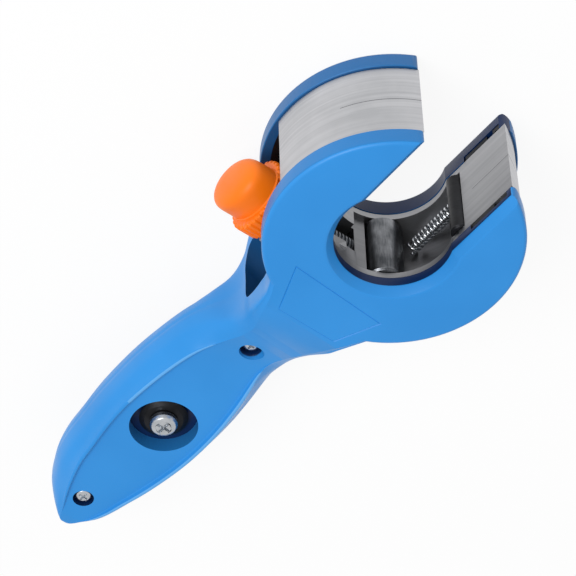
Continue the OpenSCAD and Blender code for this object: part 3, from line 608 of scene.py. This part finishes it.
# Machined and cast pieces
def softened(node, body, slot, material, width, degrees=30):
    """A merged copy of a solid whose sharp edges carry the small broken edge, width mm wide,
    that a file, a tumbler or a die leaves."""
    obj = nodes[node].copy()
    obj.data = nodes[node].data.copy()
    obj.name = node + "_finished"
    bpy.context.scene.collection.objects.link(obj)
    b = bmesh.new()
    b.from_mesh(obj.data)
    bmesh.ops.remove_doubles(b, verts=b.verts, dist=2e-6)
    # Flat faces of the castings have holes, which a dissolved face would fill wrongly
    if slot != "casting":
        bmesh.ops.dissolve_limit(b, angle_limit=math.radians(1), verts=b.verts, edges=b.edges)
    bmesh.ops.recalc_face_normals(b, faces=b.faces)
    b.to_mesh(obj.data)
    b.free()
    mod = obj.modifiers.new("edge", "BEVEL")
    mod.width = width * MM
    mod.segments = 1
    mod.limit_method = "ANGLE"
    mod.angle_limit = math.radians(degrees)
    mod.use_clamp_overlap = True
    applied(obj)
    if slot == "casting":
        paint_shade(obj, casting_shade)
    return finished(crisp(obj, 26), body, slot, material, node)


for node, body, slot, material, width in (
        ("head_front_half", "cutting_head", "casting", cast_zinc, 0.22),
        ("head_rear_half", "cutting_head", "casting", cast_zinc, 0.22),
        ("head_screws", "cutting_head", "steel", turned_steel, 0.1),
        ("roller_a", "large_roller", "bright_steel", worn_steel, 0.12),
        ("roller_b", "small_roller", "steel", black_steel, 0.12),
        ("drive_pawl", "first_pawl", "steel", dark_steel, 0.15),
        ("holding_pawl", "second_pawl", "steel", dark_steel, 0.15),
        ("sliding_jaw", "slider", "steel", dark_steel, 0.3),
        ("wheel_axle", "slider", "steel", turned_steel, 0.2),
        ("shell_screws", "handle", "bright_steel", plated_steel, 0.08),
        ("spare_screw", "handle", "bright_steel", plated_steel, 0.05),
):
    softened(node, body, slot, material, width)

for node, material in (
        ("front_ratchet_ring", black_steel), ("rear_ratchet_ring", black_steel),
        ("roller_pins", turned_steel), ("pawl_pins", turned_steel), ("knob_pin", turned_steel),
        ("spare_wheel", black_steel), ("cutter_wheel", edge_steel),
):
    nodes[node].data.materials.clear()
    nodes[node].data.materials.append(material)


# Knob, feed screw and springs
def thumb_knob():
    """Knob about the feed screw's axis: a ribbed round base, whose radius loses rib depth times
    a flattened cosine of 30 times the angle, and a domed grip that is an oval of two half
    widths, shrunk towards its top by the superellipse (1 - t^3.4)^(1/3.4)."""
    soft, ribs, deep, lean = 0.7, 30, 0.6, math.radians(31)
    base = [(CLOSE, KNOB_LOW), (KNOB_RADIUS - 2, KNOB_LOW)]
    base += rounded(KNOB_RADIUS - soft, KNOB_LOW + soft, soft, -90, 0, 5)
    base += rounded(KNOB_RADIUS - soft, KNOB_BASE - soft, soft, 0, 90, 5)
    ribbed = np.array([0.0, 0.0] + [1.0] * 10)
    r, h = np.array(base).T
    a = np.linspace(0, 2 * np.pi, 720, endpoint=False)
    wave = np.clip(0.5 - 0.9 * np.cos(ribs * a), 0, 1)
    low = r[:, None] - deep * ribbed[:, None] * wave
    t = np.sin(np.linspace(0, np.pi / 2, 22)) ** 0.8
    size = np.concatenate([[1.04, 1.005], (1 - t**3.4).clip(1e-9) ** (1 / 3.4)])
    up = np.concatenate([[KNOB_BASE + 0.02, KNOB_BASE + 0.4],
                         GRIP_RISE + (GRIP_TOP - GRIP_RISE) * t])
    oval = 1 / np.hypot(np.cos(a - lean) / GRIP_HALVES[0], np.sin(a - lean) / GRIP_HALVES[1])
    radius = np.concatenate([low, size[:, None] * oval])
    height = np.concatenate([h, up])[:, None]
    p = np.stack([radius * np.cos(a), radius * np.sin(a), height + 0 * a], -1)
    p = laid(p, "Y").reshape(-1, 3) + np.array([-SCREW_X, 0, MID])
    rows = len(height)
    return crisp(outward(piece_from("thumb_knob_ribbed", p, closed_ends(rows, 720))), 35)


def feed_screw():
    """Feed screw with a left-hand thread of 1.25 mm pitch: on the threaded length the radius
    is the crest less the depth times a triangle wave of (height / pitch + angle / turn)."""
    crest, pitch, deep = 3.0, 1.25, 0.6
    turns = np.arange(-1.1, 21.0, pitch / 12)
    h = np.concatenate([[-4.2, -4.2, -1.2, -1.2], turns, [21.2, 22.4]])
    r = np.full(len(h), crest)
    r[:3] = (CLOSE, 2.0, 2.0)
    r[-2:] = (crest, crest)
    threaded = ((h > -1.15) & (h < 20.8)).astype(float)
    threaded[:4] = 0
    a = np.linspace(0, 2 * np.pi, 72, endpoint=False)
    phase = (h[:, None] / pitch + a / (2 * np.pi)) % 1.0
    groove = np.clip(1.25 - np.abs(2 * phase - 1) * 2.5, 0, 1)
    radius = r[:, None] - deep * threaded[:, None] * groove
    tail = [(4.4, 20.8), (4.4, 22.2), (3.0, 22.2), (3.0, 39.0), (CLOSE, 39.0)]
    grid = np.stack([radius * np.cos(a), radius * np.sin(a), h[:, None] + 0 * a], -1)
    rest = np.array([[[q * math.cos(t), q * math.sin(t), z] for t in a] for q, z in tail])
    p = np.concatenate([grid[:-2], rest])
    rows = len(p)
    p = laid(p, "Y").reshape(-1, 3) + np.array([-SCREW_X, 0, MID])
    return crisp(outward(piece_from("feed_screw_threaded", p, closed_ends(rows, 72))), 40)


def coil(name, turns, length, middle, wire, start, along, across):
    """Round wire wound along a line: the wire's centre runs on a helix of the middle radius,
    and the wire's circle stands square to it, tilted by the helix angle. The end turns close
    up and end in flat caps."""
    t = np.linspace(0, 1, int(turns * 28) + 1)
    a = 2 * np.pi * turns * t[:, None]
    ease = t - 0.35 / turns * np.sin(2 * np.pi * np.clip(t * turns / 2, 0, 1)) * (t < 0.5)
    b = np.linspace(0, 2 * np.pi, 14, endpoint=False)
    rise = (length - 2 * wire) * np.maximum.accumulate(ease)[:, None]
    tilt = math.atan2((length - 2 * wire) / turns, 2 * np.pi * middle)
    out, up = middle + wire * np.cos(b), wire * np.sin(b)
    u = out * np.cos(a) + up * math.sin(tilt) * np.sin(a)
    v = out * np.sin(a) - up * math.sin(tilt) * np.cos(a)
    w = wire + rise + up * math.cos(tilt)
    ex = np.asarray(along, float)
    ey = np.asarray(across, float)
    ez = np.cross(ex, ey)
    p = np.asarray(start) + w[..., None] * ex + u[..., None] * ey + v[..., None] * ez
    return outward(piece_from(name, p.reshape(-1, 3), closed_ends(len(t), 14)))


finished(thumb_knob(), "feed", "knob", knob_orange, "thumb_knob")
finished(feed_screw(), "feed", "steel", turned_steel, "feed_screw")

# Both springs start on their seats in the castings and press on their pawls
spring_start = (-15.739, -20.503, MID - 7)
pawl_coil = coil("pawl_spring_wound", turns=13, length=20.43, middle=1.7, wire=0.47,
                 start=spring_start, along=(1, 0, 0), across=(0, 0, 1))
finished(pawl_coil, "cutting_head", "bright_steel", spring_steel, "pawl_spring")
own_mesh(pawl_coil)

lean = math.radians(64)
seat_radius = 21.9
seat = (seat_radius * math.cos(lean), seat_radius * math.sin(lean), MID)
holding_coil = coil("holding_spring_wound", turns=3, length=4.4, middle=1.1, wire=0.3,
                    start=seat, along=(math.cos(lean), math.sin(lean), 0), across=(0, 0, 1))
finished(holding_coil, "cutting_head", "bright_steel", spring_steel, "holding_spring")
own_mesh(holding_coil)

# Floor, light and camera
# Pale matt floor: it glows white to the camera, metal and glass, and keeps a faint shadow
floor_mat, t, base, _ = started("pale_matt_floor", 0.0, Roughness=0.9)
base.inputs["Base Color"].default_value = linear("#F2F2F2")
path = add(t, "ShaderNodeLightPath")
either = add(t, "ShaderNodeMath", {"operation": "MAXIMUM"},
             links={0: path.outputs["Is Camera Ray"], 1: path.outputs["Is Glossy Ray"]})
either = add(t, "ShaderNodeMath", {"operation": "MAXIMUM"},
             links={0: either.outputs[0], 1: path.outputs["Is Transmission Ray"]})
share = add(t, "ShaderNodeMath", {"operation": "MULTIPLY"}, {1: 0.9}, {0: either.outputs[0]})
glow = add(t, "ShaderNodeEmission", values={"Color": (1, 1, 1, 1), "Strength": 1.0})
blend = add(t, "ShaderNodeMixShader",
            links={0: share.outputs[0], 1: base.outputs[0], 2: glow.outputs[0]})
t.links.new(blend.outputs[0], t.nodes["Material Output"].inputs["Surface"])

bpy.ops.mesh.primitive_plane_add(size=8, location=(0, 0, -0.0002))
floor = bpy.context.object
floor.name = "floor"
floor.data.materials.append(floor_mat)

world = bpy.data.worlds.new("studio")
world.use_nodes = True
bpy.context.scene.world = world
surround = world.node_tree.nodes["Background"]
surround.inputs["Color"].default_value = (1, 1, 1, 1)
surround.inputs["Strength"].default_value = 0.64


def softbox(name, place, size, power, aim=(-0.03, 0, 0.02)):
    """A rectangular area lamp, in metres and watts, that points at the tool."""
    data = bpy.data.lights.new(name, "AREA")
    data.shape = "RECTANGLE"
    data.size, data.size_y = size
    data.energy = power
    obj = bpy.data.objects.new(name, data)
    obj.location = place
    obj.rotation_euler = (Vector(aim) - Vector(place)).to_track_quat("-Z", "Y").to_euler()
    bpy.context.scene.collection.objects.link(obj)


softbox("key", (0.12, 0.62, 0.78), (0.5, 0.5), 5.6)

# The photo's view: the lens in millimetres, the camera's place in metres, and the directions
# to its right and from the tool towards it
camera = bpy.data.cameras.new("camera")
camera.sensor_width = 36.0
camera.lens = 186.49
camera.clip_start, camera.clip_end = 0.05, 20
eye = bpy.data.objects.new("camera", camera)
right = Vector((0.61310, -0.78975, 0.02011)).normalized()
toward = Vector((0.51262, 0.41706, 0.75052))
up = toward.cross(right).normalized()
toward = right.cross(up)
turn = Matrix((right, up, toward)).transposed().to_4x4()
eye.matrix_world = Matrix.Translation((0.40653, 0.36995, 0.68080)) @ turn
bpy.context.scene.collection.objects.link(eye)
bpy.context.scene.camera = eye
bpy.context.scene.view_settings.view_transform = "Standard"
